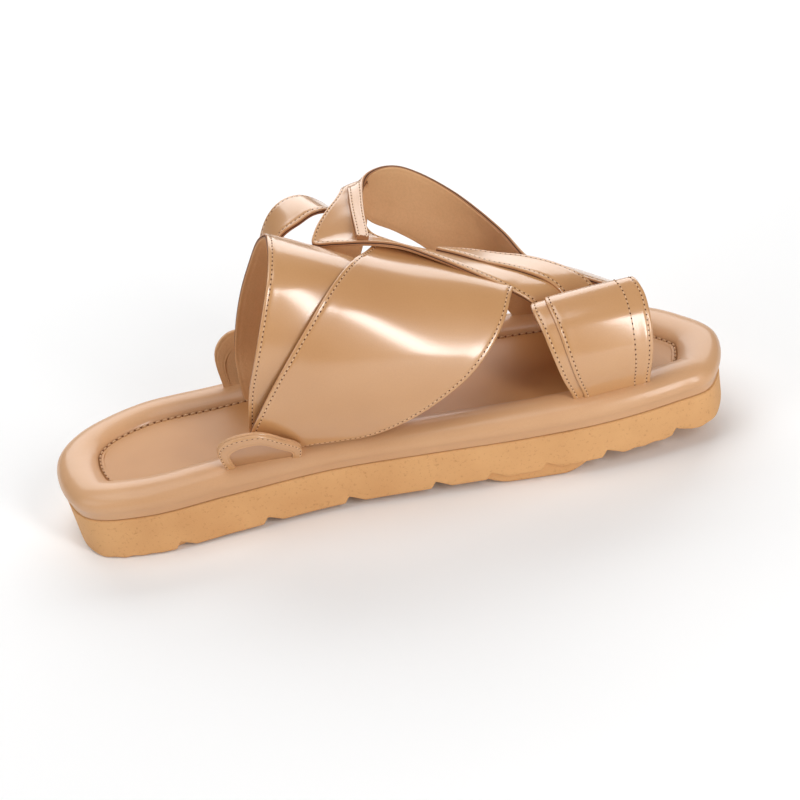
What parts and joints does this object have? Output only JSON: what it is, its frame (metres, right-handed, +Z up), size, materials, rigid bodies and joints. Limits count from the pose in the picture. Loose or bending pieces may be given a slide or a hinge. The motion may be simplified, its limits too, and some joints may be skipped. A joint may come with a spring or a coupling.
{
  "type": "strap sandal",
  "caption": "Left leather sandal with wrapped straps over the instep, a big-toe ring, a padded footbed rim and a thick light sole.",
  "frame": {"origin": "on the floor under the middle of the sole's outline", "axes": "+X to the toe, +Y to the outer side of the left foot, +Z up"},
  "size_m": [0.296, 0.101, 0.1219],
  "materials": {
    "sole_foam": "matte, finely speckled",
    "rim_leather": "satin, smooth, padded",
    "insole_leather": "satin, smooth",
    "strap_leather": "glossy, smooth, stitched along the edges"
  },
  "bodies": {
    "root": {"outsole": "sole_foam", "footbed_rim": "rim_leather", "insole": "insole_leather", "upper": "strap_leather", "toe_ring": "strap_leather", "guard_inner": "strap_leather", "guard_outer": "strap_leather"}
  },
  "joints": []
}
